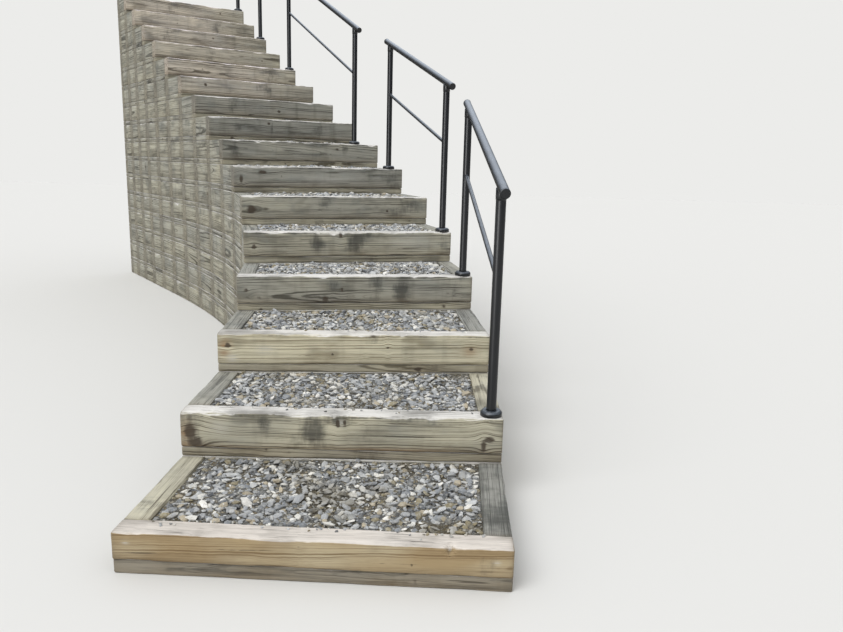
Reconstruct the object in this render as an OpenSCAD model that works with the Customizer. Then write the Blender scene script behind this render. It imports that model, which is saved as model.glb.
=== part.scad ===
// Curved flight of timber box steps with gravel treads and a tube handrail on its right side.
// Each step is a frame of timbers on edge, filled with gravel. Every frame turns a few degrees to
// the left of the one below it and stands on timber walls that run down to level ground.
// All sizes are in millimetres. The origin is on the ground under the middle of the lowest riser;
// +Y runs up the flight, +X to the right of someone who climbs it, +Z up.

/* [Timbers] */
// Length of every riser timber, the width of the flight
flight_width = 1219; // [900:1:1500]
// Height of a riser timber or side timber, standing on edge
timber_height = 140; // [100:1:190]
// Height of the lowest riser timber, which lies on a plank of its own that makes up the rest
first_timber_height = 92; // [60:1:98]
// Thickness of a timber from front to back
timber_depth = 89; // [60:1:140]
// Thickness of the plank that lies under each riser from the second one up
plank_height = 38; // [20:1:60]
// How far planks and cross walls stand back behind the face of the riser above them
plank_setback = 6; // [0:0.5:20]
// Radius of the eased long edges of the timbers
edge_radius = 5; // [1:0.5:12]
// Depth of the groove that shows between two courses of a wall
course_groove = 5; // [2:0.5:9]

/* [Plan of the flight] */
// Distance from the first riser face to the second
first_run = 620; // [450:1:800]
// Distance from the second riser face to the third
second_run = 580; // [350:1:700]
// Distance from the last riser face to the rear wall
last_run = 260; // [220:1:600]
// Turn to the left from the first frame to the second, in degrees
first_turn = 2.9; // [0:0.1:8]
// Greatest turn from a frame to the next one, in degrees
tightest_turn = 5.8; // [0:0.1:8]
// Frame where the flight turns most
tightest_step = 4; // [2:1:8]
// Frame from which the flight runs straight
straight_step = 12; // [9:1:16]

/* [Gravel] */
// Drop from the top of a frame to the surface of its gravel
gravel_drop = 8; // [0:1:40]
// Thickness of the gravel bed that is walked on
gravel_bed_thickness = 90; // [40:1:120]

/* [Handrail] */
// Diameter of the posts and the top rail
tube_diameter = 38; // [25:0.5:50]
// Diameter of the middle rail
middle_rail_diameter = 20; // [12:0.5:35]
// Height of the underside of the top rail over the timber, at each post
post_height = 848; // [700:1:1000]
// Height of the axis of the middle rail over the timber, at each post
middle_rail_height = 525; // [300:1:650]
// How far a top rail runs past the axis of its end posts
rail_overhang = 95; // [30:1:200]
// Diameter of the round flange at the foot of a post
flange_diameter = 84; // [76:1:120]
// Thickness of the flange
flange_thickness = 22; // [12:0.5:30]
// Width and height of the bevel around the top of the flange
flange_bevel = 8; // [1:0.5:10]
// Play between the post and the flange it stands in, on the radius
post_play = 0.2; // [0.1:0.05:1]
// Distance from the front face of a timber back to the axis of a post
post_from_front = 45; // [30:1:60]
// Gap between the end of one tube and the side of the tube it is shaped to
cope_gap = 0.3; // [0.1:0.1:2]
// Length of the sleeve at the head of a post, below the underside of the top rail
head_sleeve_length = 31; // [15:1:80]
// Wall of that sleeve around the post
head_sleeve_wall = 1.5; // [0.5:0.1:4]
// Thickness of the cap that closes each end of a top rail
cap_thickness = 4; // [2:0.5:10]
// How far that cap stands proud of the rail all around
cap_lip = 1; // [0:0.5:4]

/* [Posts, distance of each axis from the right end of its timber] */
// Post on step 2
post_2_end_distance = 44; // [42:1:300]
// Post on step 4
post_4_end_distance = 44; // [42:1:300]
// Post on step 5
post_5_end_distance = 44; // [42:1:300]
// Post on step 7
post_7_end_distance = 91; // [42:1:300]
// Post on step 8
post_8_end_distance = 184; // [42:1:300]
// Post on step 12
post_12_end_distance = 44; // [42:1:300]
// Post on step 14
post_14_end_distance = 44; // [42:1:300]
// Post on step 16
post_16_end_distance = 44; // [42:1:300]

/* [Hidden] */
step_count = 16;
$fn = 48;

timber_colour = [0.60, 0.53, 0.40];
golden_colour = [0.66, 0.52, 0.28];
side_colour = [0.55, 0.50, 0.42];
plank_colour = [0.38, 0.32, 0.25];
wall_colour = [0.50, 0.45, 0.36];
gravel_colour = [0.55, 0.57, 0.58];
core_colour = [0.45, 0.44, 0.42];
tube_colour = [0.12, 0.13, 0.15];

// Each section of handrail: the steps its two posts stand on and the end distances of those posts.
rail_a = [[2, post_2_end_distance], [4, post_4_end_distance]];
rail_b = [[5, post_5_end_distance], [7, post_7_end_distance]];
rail_c = [[8, post_8_end_distance], [12, post_12_end_distance]];
rail_d = [[14, post_14_end_distance], [16, post_16_end_distance]];

rise = timber_height + plank_height;
half_width = flight_width / 2;
inner_half_width = half_width - timber_depth;
edge_steps = 3;
// How far a cutting solid reaches past what it cuts.
overcut = 1;

// Turn from frame i to the next one: it grows evenly to the tightest frame and dies away evenly.
function turn_at(i) = lookup(i, [[1, first_turn], [tightest_step, tightest_turn], [straight_step, 0]]);

// Distance from the face of riser i to the next one, easing evenly from the second frame up.
function run_at(i) =
    i == 1 ? first_run : second_run + (last_run - second_run) * (i - 2) / (step_count - 2);

// Heading of frame i, counted from the first one.
function heading(i) = i <= 1 ? 0 : heading(i - 1) + turn_at(i - 1);

// Middle of the front face of riser i, in plan.
function place(i) =
    i <= 1
        ? [0, -timber_depth / 2]
        : place(i - 1) + run_at(i - 1) * [-sin(heading(i - 1)), cos(heading(i - 1))];

// Level of the top of frame i, and of the underside of its side timbers.
function top_of(i) = timber_height + (i - 1) * rise;
function underside_of(i) = top_of(i) - timber_height;

// Height of the riser timber of step i; the lowest one is a smaller timber on a plank.
function riser_height(i) = i == 1 ? first_timber_height : timber_height;

// How far up frame i a line at sideways place x meets the plane of the next cross wall's face.
function reach(i, x) = run_at(i) + (plank_setback + x * sin(turn_at(i))) / cos(turn_at(i));

// A point given in the frame of step i, moved into the frame of the whole flight.
function from_step(i, p) = [
    place(i)[0] + p[0] * cos(heading(i)) - p[1] * sin(heading(i)),
    place(i)[1] + p[0] * sin(heading(i)) + p[1] * cos(heading(i)),
    top_of(i) + p[2]
];

// Point on the axis of a post, at a height over its timber; post is a pair of step and end distance.
function post_point(post, height) =
    from_step(post[0], [half_width - post[1], post_from_front, height]);

// Outline of a timber's section with eased corners, width w and height h.
function eased_section(w, h) = [
    for (corner = [0:3], k = [0:edge_steps])
        let (
            cx = (corner == 0 || corner == 3) ? w - edge_radius : edge_radius,
            cy = corner < 2 ? h - edge_radius : edge_radius,
            angle = 90 * corner + 90 * k / edge_steps
        )
        [cx + edge_radius * cos(angle), cy + edge_radius * sin(angle)]
];

module at_step(i) {
    translate([place(i)[0], place(i)[1], 0])
        rotate([0, 0, heading(i)])
            children();
}

// Timber of height h with eased edges along +Y, starting at the origin.
module timber_along_y(length, h) {
    translate([0, length, 0])
        rotate([90, 0, 0])
            linear_extrude(height = length)
                polygon(eased_section(timber_depth, h));
}

// Riser timber of step i, full width of the flight.
module riser_timber(i) {
    color(i == 1 ? golden_colour : timber_colour)
        at_step(i)
            translate([-half_width, timber_depth, top_of(i) - riser_height(i)])
                rotate([0, 0, -90])
                    timber_along_y(flight_width, riser_height(i));
}

// Side timber of frame i, butted to the back of its riser and cut to the next cross wall's face.
module side_timber(i, side) {
    start = side < 0 ? -half_width : inner_half_width;
    difference() {
        at_step(i)
            translate([start, timber_depth, underside_of(i)])
                timber_along_y(run_at(i) + flight_width * sin(turn_at(i)), timber_height);
        at_step(i + 1)
            translate([-flight_width, plank_setback, underside_of(i) - overcut])
                cube([2 * flight_width, run_at(i) + flight_width, timber_height + 2 * overcut]);
    }
}

// Upright block of frame i between two sideways places, from the riser's back to the next wall.
module frame_block(i, x0, x1, z0, z1) {
    at_step(i)
        translate([0, 0, z0])
            linear_extrude(height = z1 - z0)
                polygon([[x0, timber_depth], [x1, timber_depth], [x1, reach(i, x1)], [x0, reach(i, x0)]]);
}

module side_timbers(side) {
    color(side_colour)
        for (i = [1:step_count])
            side_timber(i, side);
}

// Planks under the side timbers from the second frame up.
module side_planks(side) {
    x0 = side < 0 ? -half_width : inner_half_width;
    color(plank_colour)
        for (i = [2:step_count])
            frame_block(i, x0, x0 + timber_depth, top_of(i - 1), underside_of(i));
}

// Section of a wall from 0 to depth and from the ground up to the top of frame i, with a groove in
// the face at depth wherever a timber and a plank meet.
function coursed_section(i, depth) = concat(
    [[0, 0], [depth, 0]],
    [
        for (course = [1:1:i - 1], joint = [top_of(course), top_of(course) + plank_height], edge = [-1:1])
            [depth - course_groove * (1 - abs(edge)), joint + course_groove * edge]
    ],
    [[depth, top_of(i)], [0, top_of(i)]]
);

// Timber walls that carry the sides of each frame down to the ground.
module crib_walls(side) {
    color(wall_colour)
        for (i = [2:step_count])
            intersection() {
                frame_block(i, -flight_width, flight_width, -overcut, top_of(i));
                at_step(i)
                    translate([side * inner_half_width, 0, 0])
                        mirror([side < 0 ? 1 : 0, 0, 0])
                            translate([0, run_at(i) + flight_width, 0])
                                rotate([90, 0, 0])
                                    linear_extrude(height = run_at(i) + flight_width)
                                        polygon(coursed_section(i - 1, timber_depth));
            }
}

// Block behind the face of step i, full width, standing back by the setback.
module cross_block(i, z0, z1) {
    at_step(i)
        translate([-half_width, plank_setback, z0])
            cube([flight_width, timber_depth - plank_setback, z1 - z0]);
}

// The plank under each riser; the lowest one lies on the ground.
module riser_planks() {
    color(plank_colour)
        for (i = [1:step_count])
            cross_block(i, i == 1 ? 0 : top_of(i - 1), top_of(i) - riser_height(i));
}

module cross_walls() {
    color(wall_colour)
        for (i = [2:step_count])
            cross_block(i, 0, top_of(i - 1));
}

// Wall that closes the head of the flight, its courses showing on the rear face.
module rear_wall() {
    color(wall_colour)
        at_step(step_count + 1)
            translate([-half_width, plank_setback, 0])
                rotate([90, 0, 90])
                    linear_extrude(height = flight_width)
                        polygon(coursed_section(step_count, timber_depth - plank_setback));
}

module gravel_treads() {
    color(gravel_colour)
        for (i = [1:step_count])
            frame_block(i, -inner_half_width, inner_half_width,
                top_of(i) - gravel_drop - gravel_bed_thickness, top_of(i) - gravel_drop);
}

module gravel_core() {
    color(core_colour)
        for (i = [1:step_count])
            frame_block(i, -inner_half_width, inner_half_width,
                0, top_of(i) - gravel_drop - gravel_bed_thickness);
}

// Round bar from point a to point b.
module bar(a, b, diameter) {
    d = b - a;
    translate(a)
        rotate([0, acos(d[2] / norm(d)), atan2(d[1], d[0])])
            cylinder(h = norm(d), d = diameter);
}

// Point on the line from a to b, a distance past a.
function along(a, b, distance) = a + (b - a) * distance / norm(b - a);

rail_axis_height = post_height + tube_diameter / 2;

// The two ends of a top rail's axis, the lower one first.
function rail_ends(rail) =
    let (a = post_point(rail[0], rail_axis_height), b = post_point(rail[1], rail_axis_height))
    [along(a, b, -rail_overhang), along(b, a, -rail_overhang)];

// Upright bar on the axis of a post, from one height over the timber to another.
module upright(post, low, high, diameter) {
    bar(post_point(post, low), post_point(post, high), diameter);
}

// Two posts, each in a thin sleeve at its head, shaped to the underside of the top rail.
module posts(rail) {
    ends = rail_ends(rail);
    color(tube_colour)
        difference() {
            for (post = rail) {
                upright(post, 0, rail_axis_height, tube_diameter);
                upright(post, post_height - head_sleeve_length, rail_axis_height - tube_diameter / 4,
                    tube_diameter + 2 * head_sleeve_wall);
            }
            bar(ends[0], ends[1], tube_diameter + 2 * cope_gap);
        }
}

// Thick round flange with a bevelled rim, turned around the post it holds.
module flange(post) {
    bore = tube_diameter / 2 + post_play;
    rim = flange_diameter / 2;
    translate(post_point(post, 0))
        rotate_extrude()
            polygon([
                [bore, 0], [rim, 0], [rim, flange_thickness - flange_bevel],
                [rim - flange_bevel, flange_thickness], [bore, flange_thickness]
            ]);
}

module flanges(rail) {
    color(tube_colour)
        for (post = rail)
            flange(post);
}

// Top rail past both posts, with a flat cap at each end.
module top_rail(rail) {
    ends = rail_ends(rail);
    color(tube_colour) {
        bar(ends[0], ends[1], tube_diameter);
        for (end = [[ends[0], ends[1]], [ends[1], ends[0]]])
            bar(along(end[0], end[1], -cap_thickness / 2), along(end[0], end[1], cap_thickness / 2),
                tube_diameter + 2 * cap_lip);
    }
}

// Middle rail between two posts, its ends shaped to the posts.
module middle_rail(rail) {
    color(tube_colour)
        difference() {
            bar(post_point(rail[0], middle_rail_height), post_point(rail[1], middle_rail_height),
                middle_rail_diameter);
            for (post = rail)
                upright(post, 0, post_height, tube_diameter + 2 * cope_gap);
        }
}

riser_timber(1);  // riser_timber_01
riser_timber(2);  // riser_timber_02
riser_timber(3);  // riser_timber_03
riser_timber(4);  // riser_timber_04
riser_timber(5);  // riser_timber_05
riser_timber(6);  // riser_timber_06
riser_timber(7);  // riser_timber_07
riser_timber(8);  // riser_timber_08
riser_timber(9);  // riser_timber_09
riser_timber(10);  // riser_timber_10
riser_timber(11);  // riser_timber_11
riser_timber(12);  // riser_timber_12
riser_timber(13);  // riser_timber_13
riser_timber(14);  // riser_timber_14
riser_timber(15);  // riser_timber_15
riser_timber(16);  // riser_timber_16
side_timbers(-1);  // left_side_timbers
side_timbers(1);  // right_side_timbers
riser_planks();
side_planks(-1);  // left_planks
side_planks(1);  // right_planks
crib_walls(-1);  // left_crib_walls
crib_walls(1);  // right_crib_walls
cross_walls();
gravel_treads();
gravel_core();
rear_wall();
posts(rail_a);  // handrail_a_posts
flanges(rail_a);  // handrail_a_flanges
top_rail(rail_a);  // handrail_a_top_rail
middle_rail(rail_a);  // handrail_a_middle_rail
posts(rail_b);  // handrail_b_posts
flanges(rail_b);  // handrail_b_flanges
top_rail(rail_b);  // handrail_b_top_rail
middle_rail(rail_b);  // handrail_b_middle_rail
posts(rail_c);  // handrail_c_posts
flanges(rail_c);  // handrail_c_flanges
top_rail(rail_c);  // handrail_c_top_rail
middle_rail(rail_c);  // handrail_c_middle_rail
posts(rail_d);  // handrail_d_posts
flanges(rail_d);  // handrail_d_flanges
top_rail(rail_d);  // handrail_d_top_rail
middle_rail(rail_d);  // handrail_d_middle_rail
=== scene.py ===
"""Dresses a curved flight of timber box steps: weathered timbers, crushed gravel and black tube rails.

Every length is in metres, but for two tables of marks in millimetres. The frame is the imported
model's own: the origin is under the middle of the lowest riser, +Y runs up the flight, +X is to the
climber's right and +Z is up.
"""

import logging
import math
from dataclasses import dataclass, field
from enum import Enum, IntEnum
from typing import Optional, Sequence, Union

import bpy
import numpy as np
from mathutils import Matrix


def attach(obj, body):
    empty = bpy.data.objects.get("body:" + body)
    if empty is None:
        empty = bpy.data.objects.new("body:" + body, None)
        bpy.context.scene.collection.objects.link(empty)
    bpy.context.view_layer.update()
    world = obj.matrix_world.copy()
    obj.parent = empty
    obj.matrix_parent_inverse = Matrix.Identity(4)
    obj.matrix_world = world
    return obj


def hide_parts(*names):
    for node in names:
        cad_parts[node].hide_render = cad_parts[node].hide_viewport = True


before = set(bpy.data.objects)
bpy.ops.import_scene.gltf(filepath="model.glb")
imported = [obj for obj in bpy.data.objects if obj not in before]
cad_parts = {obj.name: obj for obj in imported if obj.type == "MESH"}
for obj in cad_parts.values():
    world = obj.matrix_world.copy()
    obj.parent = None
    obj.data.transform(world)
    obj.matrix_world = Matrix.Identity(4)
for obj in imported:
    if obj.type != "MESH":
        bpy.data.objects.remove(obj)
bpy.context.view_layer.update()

log = logging.getLogger("steps")

Array = np.ndarray
Socket = bpy.types.NodeSocket
Value = Union[float, Sequence[float], Socket]
Fields = dict[str, Socket]
Pair = tuple[float, float]
Triple = tuple[float, float, float]
Colour = tuple[float, float, float, float]
Stops = tuple[tuple[float, Colour], ...]


def srgb(red: int, green: int, blue: int) -> Colour:
    """Turns a colour written on the usual 0 to 255 scale into the linear one that shaders use.

    Args:
        red: Red part.
        green: Green part.
        blue: Blue part.

    Returns:
        The linear colour with an alpha of 1.
    """
    parts = np.array([red, green, blue]) / 255.0
    linear = np.where(parts <= 0.04045, parts / 12.92, ((parts + 0.055) / 1.055) ** 2.4)
    return (*linear.tolist(), 1.0)


# Plan of the flight


@dataclass(frozen=True)
class FlightPlan:
    """Sizes and places of the frames, as in the part's source; turns are in degrees."""

    steps: int = 16
    width: float = 1.219
    timber_height: float = 0.140
    first_timber_height: float = 0.092
    timber_depth: float = 0.089
    plank_height: float = 0.038
    plank_setback: float = 0.006
    first_run: float = 0.620
    second_run: float = 0.580
    last_run: float = 0.260
    first_turn: float = 2.9
    tightest_turn: float = 5.8
    tightest_step: int = 4
    straight_step: int = 12
    gravel_drop: float = 0.008

    @property
    def half(self) -> float:
        """Half the width of the flight."""
        return self.width / 2

    @property
    def inner(self) -> float:
        """Half the width between the side timbers."""
        return self.half - self.timber_depth

    @property
    def rise(self) -> float:
        """Height from the top of one frame to the next."""
        return self.timber_height + self.plank_height

    def turn_at(self, step: int) -> float:
        """Turn from a frame to the next one, in radians."""
        steps = [1, self.tightest_step, self.straight_step]
        return math.radians(float(np.interp(step, steps, [self.first_turn, self.tightest_turn, 0.0])))

    def run_at(self, step: int) -> float:
        """Distance from a riser's face to the next one."""
        if step == 1:
            return self.first_run
        return self.second_run + (self.last_run - self.second_run) * (step - 2) / (self.steps - 2)

    def heading(self, step: int) -> float:
        """Heading of a frame, counted from the first one, in radians."""
        return sum(self.turn_at(k) for k in range(1, step))

    def place(self, step: int) -> Array:
        """Middle of a riser's front face, in plan.

        Args:
            step: Number of the step.

        Returns:
            The point.
        """
        spot = np.array([0.0, -self.timber_depth / 2])
        for k in range(1, step):
            angle = self.heading(k)
            spot = spot + self.run_at(k) * np.array([-math.sin(angle), math.cos(angle)])
        return spot

    def top_of(self, step: int) -> float:
        """Level of the top of a frame; 0 for the ground under the first one."""
        return self.timber_height + (step - 1) * self.rise if step > 0 else 0.0

    def riser_height(self, step: int) -> float:
        """Height of a riser timber; the lowest one is a smaller timber on a plank."""
        return self.first_timber_height if step == 1 else self.timber_height

    def courses(self, step: int) -> list[tuple[int, float, float, float]]:
        """Courses of the wall under a step: number, foot and head of the timber, top of its plank."""
        heads = [(course, self.top_of(course)) for course in range(1, step)]
        return [(k, head - self.timber_height, head, head + self.plank_height) for k, head in heads]

    def reach(self, step: int, across: Array) -> Array:
        """How far up a frame the next cross wall's face lies, at sideways places.

        Args:
            step: Number of the frame.
            across: Sideways places in the frame of that step.

        Returns:
            The distance from the riser's face for each place: the run, plus the setback and the
            place times the sine of the turn, over its cosine.
        """
        turn = self.turn_at(step)
        return self.run_at(step) + (self.plank_setback + across * math.sin(turn)) / math.cos(turn)

    def to_flight(self, step: int, points: Array) -> Array:
        """Moves points given in the plan frame of a step into the frame of the flight.

        Args:
            step: Number of the step.
            points: Points as rows, with their height already over the ground.

        Returns:
            The points turned by the step's heading and moved to its place.
        """
        angle = self.heading(step)
        turn = np.array([[math.cos(angle), math.sin(angle)], [-math.sin(angle), math.cos(angle)]])
        moved = points.copy()
        moved[:, :2] = points[:, :2] @ turn + self.place(step)
        return moved


PLAN = FlightPlan()


class Seeds(IntEnum):
    """Where the seeds of each kind of piece start."""

    RISERS = 100
    BEDS = 700
    LEFT = 1000
    RIGHT = 3000
    CROSS = 5000
    LIP_SHADES = 40000
    KNOTS = 90000


# Meshes from arrays


@dataclass
class Shell:
    """A closed mesh as arrays, with values carried by its points."""

    points: Array
    faces: list[Array]
    flat: list[bool]
    values: dict[str, Array] = field(default_factory=dict)

    def outward(self) -> "Shell":
        """Turns every face round if the shell's signed volume is negative."""
        volume = 0.0
        for group in self.faces:
            base = self.points[group[:, 0]]
            for k in range(1, group.shape[1] - 1):
                a, b = self.points[group[:, k]], self.points[group[:, k + 1]]
                volume += float(np.einsum("ij,ij->i", base, np.cross(a, b)).sum())
        if volume < 0:
            self.faces = [group[:, ::-1] for group in self.faces]
        return self


def closed_tube(points: Array, hubs: Array, around: int, values: dict[str, Array]) -> Shell:
    """Closes rings of points into a shell, with a fan of flat faces at each end.

    Args:
        points: The rings one after another, as rows.
        hubs: Middle of the first and of the last ring.
        around: Number of points in a ring.
        values: What the points and then the hubs carry.

    Returns:
        The shell. A face joins each point and the next one of its ring to the same two of the ring
        that follows.
    """
    hub = len(points)
    index = np.arange(hub).reshape(-1, around)
    after = np.roll(index, -1, 1)
    sides = np.stack([index[:-1], after[:-1], after[1:], index[1:]], 2).reshape(-1, 4)
    first = np.stack([np.full(around, hub), after[0], index[0]], 1)
    last = np.stack([np.full(around, hub + 1), index[-1], after[-1]], 1)
    faces = [sides, first, last]
    return Shell(np.concatenate([points, hubs]), faces, [False, True, True], values).outward()


def join(shells: Sequence[Shell]) -> Shell:
    """Puts shells into one, keeping the order of their groups of faces.

    Args:
        shells: Shells that carry the same values.

    Returns:
        One shell with every point and face.
    """
    offset = 0
    faces: list[Array] = []
    flat: list[bool] = []
    for shell in shells:
        faces += [group + offset for group in shell.faces]
        flat += shell.flat
        offset += len(shell.points)
    values = {k: np.concatenate([s.values[k] for s in shells]) for k in shells[0].values}
    return Shell(np.concatenate([s.points for s in shells]), faces, flat, values)


def stand(name: str, data: bpy.types.ID) -> bpy.types.Object:
    """Makes an object of a mesh, lamp or camera and puts it into the scene.

    Args:
        name: Name of the object.
        data: The mesh, lamp or camera.

    Returns:
        The object.
    """
    made = bpy.data.objects.new(name, data)
    bpy.context.scene.collection.objects.link(made)
    return made


def make_piece(
    name: str, shell: Shell, material: bpy.types.Material, nodes: Sequence[str] = ()
) -> bpy.types.Object:
    """Makes an object of a shell, dresses it and lets it ride on the one body.

    Args:
        name: Name of the piece.
        shell: The closed mesh.
        material: Its finish.
        nodes: CAD nodes that the piece stands for.

    Returns:
        The new object.
    """
    mesh = bpy.data.meshes.new(name)
    loops = np.concatenate([group.ravel() for group in shell.faces])
    sizes = np.concatenate([np.full(len(group), group.shape[1]) for group in shell.faces])
    smooth = np.concatenate([np.full(len(g), not f) for g, f in zip(shell.faces, shell.flat)])
    starts = np.concatenate([[0], np.cumsum(sizes)[:-1]])
    mesh.vertices.add(len(shell.points))
    mesh.vertices.foreach_set("co", shell.points.astype(np.float32).ravel())
    mesh.loops.add(len(loops))
    mesh.loops.foreach_set("vertex_index", loops.astype(np.int32))
    mesh.polygons.add(len(sizes))
    mesh.polygons.foreach_set("loop_start", starts.astype(np.int32))
    mesh.polygons.foreach_set("use_smooth", smooth)
    for key, value in shell.values.items():
        kind, part = ("FLOAT_VECTOR", "vector") if value.shape[1] == 3 else ("FLOAT_COLOR", "color")
        layer = mesh.attributes.new(key, kind, "POINT")
        layer.data.foreach_set(part, value.astype(np.float32).ravel())
    mesh.update(calc_edges=True)
    mesh.validate()
    mesh.materials.append(material)
    piece = stand(name, mesh)
    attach(piece, "root")
    if nodes:
        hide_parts(*nodes)
    return piece


def ripple(points: Array, scale: Sequence[float], rng: np.random.Generator, waves: int = 9) -> Array:
    """Smooth random relief: the mean of sine waves in random directions.

    Args:
        points: Points as rows.
        scale: Waves per metre along each axis.
        rng: Source of the directions and phases.
        waves: Number of waves.

    Returns:
        A value for each point, mostly between -1 and 1.
    """
    turns = rng.normal(size=(waves, 3)) * np.asarray(scale) * 2 * math.pi
    phase = rng.uniform(0, 2 * math.pi, waves)
    return np.sin(points @ turns.T + phase).sum(1) / math.sqrt(waves)


# Shader helpers


@dataclass(frozen=True)
class Coat:
    """A colour laid over others: it starts to show at low and from high on hides the share most."""

    colour: Colour
    low: float
    high: float
    most: float = 1.0


class Sketch:
    """Short calls that add shader nodes to a material or a world."""

    def __init__(self, owner: Union[bpy.types.Material, bpy.types.World]) -> None:
        """Empties the tree of a material or world and gives it an output.

        Args:
            owner: The material or world.
        """
        owner.use_nodes = True
        self.owner = owner
        self.tree = owner.node_tree
        self.tree.nodes.clear()
        kind = "World" if isinstance(owner, bpy.types.World) else "Material"
        self.output = self.tree.nodes.new(f"ShaderNodeOutput{kind}")

    def node(self, kind: str, inputs: dict[Union[str, int], Value], **settings: object) -> bpy.types.Node:
        """Adds a node and fills its inputs.

        Args:
            kind: The end of Blender's name of the node type.
            inputs: Values or sockets for the inputs, by name or number.
            settings: Properties of the node.

        Returns:
            The new node.
        """
        made = self.tree.nodes.new(f"ShaderNode{kind}")
        for key, value in settings.items():
            setattr(made, key, value)
        for key, value in inputs.items():
            if isinstance(value, bpy.types.NodeSocket):
                self.tree.links.new(value, made.inputs[key])
            else:
                made.inputs[key].default_value = value
        return made

    def attribute(self, name: str) -> bpy.types.NodeOutputs:
        """Reads a value that the mesh carries."""
        return self.node("Attribute", {}, attribute_name=name).outputs

    def place(self) -> Socket:
        """Place on the surface, in the frame of the flight."""
        return self.node("TexCoord", {}).outputs["Object"]

    def upward(self) -> Socket:
        """How far the surface looks up: 1 on a level top, 0 on an upright face."""
        normal = self.node("NewGeometry", {}).outputs["Normal"]
        return self.node("SeparateXYZ", {0: normal}).outputs["Z"]

    def math(self, operation: str, a: Value, b: Value = 0.5, clamp: bool = False) -> Socket:
        """Adds one sum; operation is Blender's word for it."""
        return self.node("Math", {0: a, 1: b}, operation=operation, use_clamp=clamp).outputs[0]

    def times(self, a: Value, b: Value) -> Socket:
        """One value times another."""
        return self.math("MULTIPLY", a, b)

    def weighed(self, *terms: tuple[Socket, float]) -> Socket:
        """Sum of values, each times its own weight."""
        total, *rest = [self.times(value, weight) for value, weight in terms]
        for part in rest:
            total = self.math("ADD", total, part)
        return total

    def vector(self, operation: str, a: Socket, b: Value) -> Socket:
        """Adds one sum of two vectors; operation is Blender's word for it."""
        return self.node("VectorMath", {0: a, 1: b}, operation=operation).outputs[0]

    def noise(
        self, vector: Socket, scale: Triple, detail: float = 3.0, rough: float = 0.6, output: str = "Fac"
    ) -> Socket:
        """Noise with its own scale along each axis.

        Args:
            vector: The place.
            scale: Cells per metre along each axis.
            detail: How many finer layers it has.
            rough: How strong they are.
            output: Fac for a value, Color for three.

        Returns:
            The noise.
        """
        place = self.vector("MULTIPLY", vector, scale)
        inputs = {"Vector": place, "Scale": 1.0, "Detail": detail, "Roughness": rough}
        return self.node("TexNoise", inputs).outputs[output]

    def warp(self, vector: Socket, scale: Triple, reach: float) -> Socket:
        """A wandering shift of up to about half the reach each way, to add to a place.

        Args:
            vector: The place.
            scale: Cells per metre along each axis.
            reach: Its reach.

        Returns:
            The shift.
        """
        cloud = self.noise(vector, scale, 2.0, 0.5, "Color")
        centred = self.vector("SUBTRACT", cloud, (0.5, 0.5, 0.5))
        return self.vector("MULTIPLY", centred, (reach, reach, reach))

    def window(
        self, value: Socket, low: float, high: float, least: float = 0.0, most: float = 1.0
    ) -> Socket:
        """Goes smoothly from least at low to most at high; high may be the smaller."""
        inputs = {"Value": value, "From Min": low, "From Max": high, "To Min": least, "To Max": most}
        return self.node("MapRange", inputs, interpolation_type="SMOOTHSTEP").outputs["Result"]

    def mix(self, amount: Value, a: Value, b: Value, blend: str = "MIX") -> Socket:
        """Mixes two colours."""
        return self.node("Mix", {0: amount, 6: a, 7: b}, data_type="RGBA", blend_type=blend).outputs[2]

    def coat(self, colour: Value, value: Socket, coat: Coat, *shares: Socket) -> Socket:
        """Lays a coat over a colour.

        Args:
            colour: What lies below.
            value: The value that the coat shows by.
            coat: The coat.
            shares: Values from 0 to 1 that hold it back further.

        Returns:
            The new colour.
        """
        amount = self.window(value, coat.low, coat.high)
        for share in shares:
            amount = self.times(amount, share)
        return self.mix(self.times(amount, coat.most), colour, coat.colour)

    def ramp(self, value: Socket, stops: Stops) -> Socket:
        """Looks a value up in a row of colours.

        Args:
            value: The place in the row.
            stops: Places and their colours, in order.

        Returns:
            The colour.
        """
        made = self.node("ValToRGB", {0: value})
        row = made.color_ramp.elements
        while len(row) < len(stops):
            row.new(0.5)
        for element, (place, colour) in zip(row, stops):
            element.position = place
            element.color = colour
        return made.outputs[0]

    def background(self, colour: Colour, strength: Value) -> Socket:
        """A world's shader of one colour."""
        return self.node("Background", {"Color": colour, "Strength": strength}).outputs[0]

    def close(self, shader: Socket) -> None:
        """Links the last shader to the output."""
        self.tree.links.new(shader, self.output.inputs["Surface"])

    def finish(
        self, colour: Value, rough: Value, specular: float, bump: Optional[Socket] = None,
        depth: float = 0.0,
    ) -> bpy.types.Material:
        """Closes the material with one surface shader.

        Args:
            colour: Base colour.
            rough: Roughness.
            specular: Specular level.
            bump: Height of the fine relief, or None.
            depth: Depth of that relief in metres.

        Returns:
            The material.
        """
        inputs = {"Base Color": colour, "Roughness": rough, "Specular IOR Level": specular}
        if bump is not None:
            relief = self.node("Bump", {"Height": bump, "Strength": 1.0, "Distance": depth})
            inputs["Normal"] = relief.outputs[0]
        self.close(self.node("BsdfPrincipled", inputs).outputs[0])
        return self.owner


# Finishes


# Noises of the wood: scale along, across and up the timber, then detail and roughness
WOOD_NOISES = {
    "fibres": ((6.0, 300.0, 300.0), 3.0, 0.6),
    "streaks": ((1.5, 38.0, 38.0), 4.0, 0.6),
    "patches": ((4.0, 6.0, 10.0), 3.0, 0.55),
    "clouds": ((8.0, 13.0, 17.0), 4.0, 0.6),
    "drips": ((10.0, 2.0, 1.6), 3.0, 0.55),
    "trickles": ((46.0, 10.0, 13.0), 3.0, 0.6),
    "splits": ((2.0, 105.0, 105.0), 2.0, 0.45),
}

# Layers that a timber carries, with what their red, green, blue and alpha tell
# Sun, the alpha of weather, is painted sunlight that brightens the wood's colour.
WOOD_LAYERS = {"weather": ("end", "damp", "age", "sun"), "marks": ("knot", "run", "pale", "warm")}


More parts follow.
